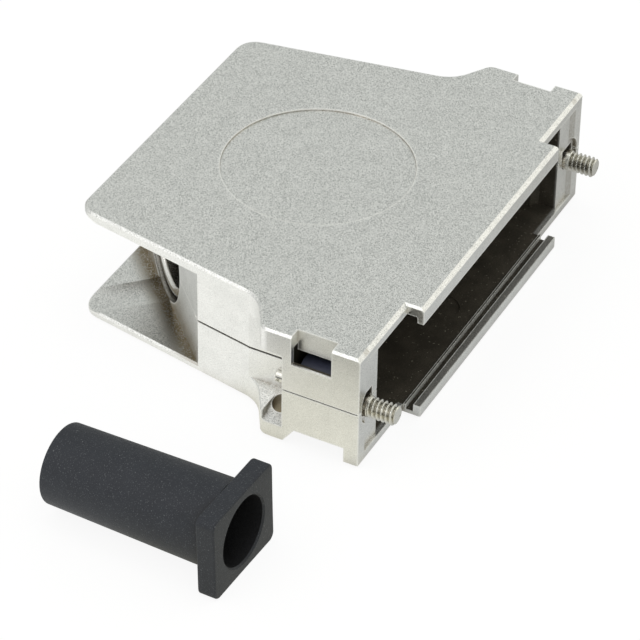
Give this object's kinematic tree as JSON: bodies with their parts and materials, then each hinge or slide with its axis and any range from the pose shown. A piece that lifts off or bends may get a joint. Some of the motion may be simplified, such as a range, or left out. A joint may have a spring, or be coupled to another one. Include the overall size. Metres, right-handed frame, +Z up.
{
  "type": "d-sub hood",
  "caption": "Two-part cast metal D-sub hood with captive jackscrews, a slanted cable exit with a clamped ferrule, and a loose rubber bend relief boot.",
  "frame": {"origin": "midway between the two jackscrew axes, in the plane of the hood's end faces", "axes": "+X along the mouth, +Y from the mouth towards the rear, +Z up out of the top cover"},
  "size_m": [0.0977, 0.0515, 0.0177],
  "materials": {
    "cast_shell": "satin nickel over a fine cast grain",
    "jackscrew": "bright nickel-plated turned steel",
    "retainer": "black moulded nylon",
    "ferrule": "polished nickel plate",
    "case_screw": "zinc-plated steel",
    "boot_rubber": "matte moulded rubber"
  },
  "bodies": {
    "hood": {"upper_shell": "cast_shell", "lower_shell": "cast_shell", "screw_retainer_left": "retainer", "screw_retainer_right": "retainer", "cable_ferrule": "ferrule", "case_screw_left": "case_screw", "case_screw_right": "case_screw", "case_screw_rear": "case_screw", "bend_relief_boot": "boot_rubber"},
    "jackscrew_left": {"jackscrew_left": "jackscrew"},
    "jackscrew_right": {"jackscrew_right": "jackscrew"}
  },
  "joints": [
    {"name": "jackscrew_left_turn", "type": "hinge", "parent": "hood", "child": "jackscrew_left", "pos_m": [-0.03055, 0, 0], "axis": [0, -1, 0], "continuous": true},
    {"name": "jackscrew_right_turn", "type": "hinge", "parent": "hood", "child": "jackscrew_right", "pos_m": [0.03055, 0, 0], "axis": [0, -1, 0], "continuous": true}
  ]
}
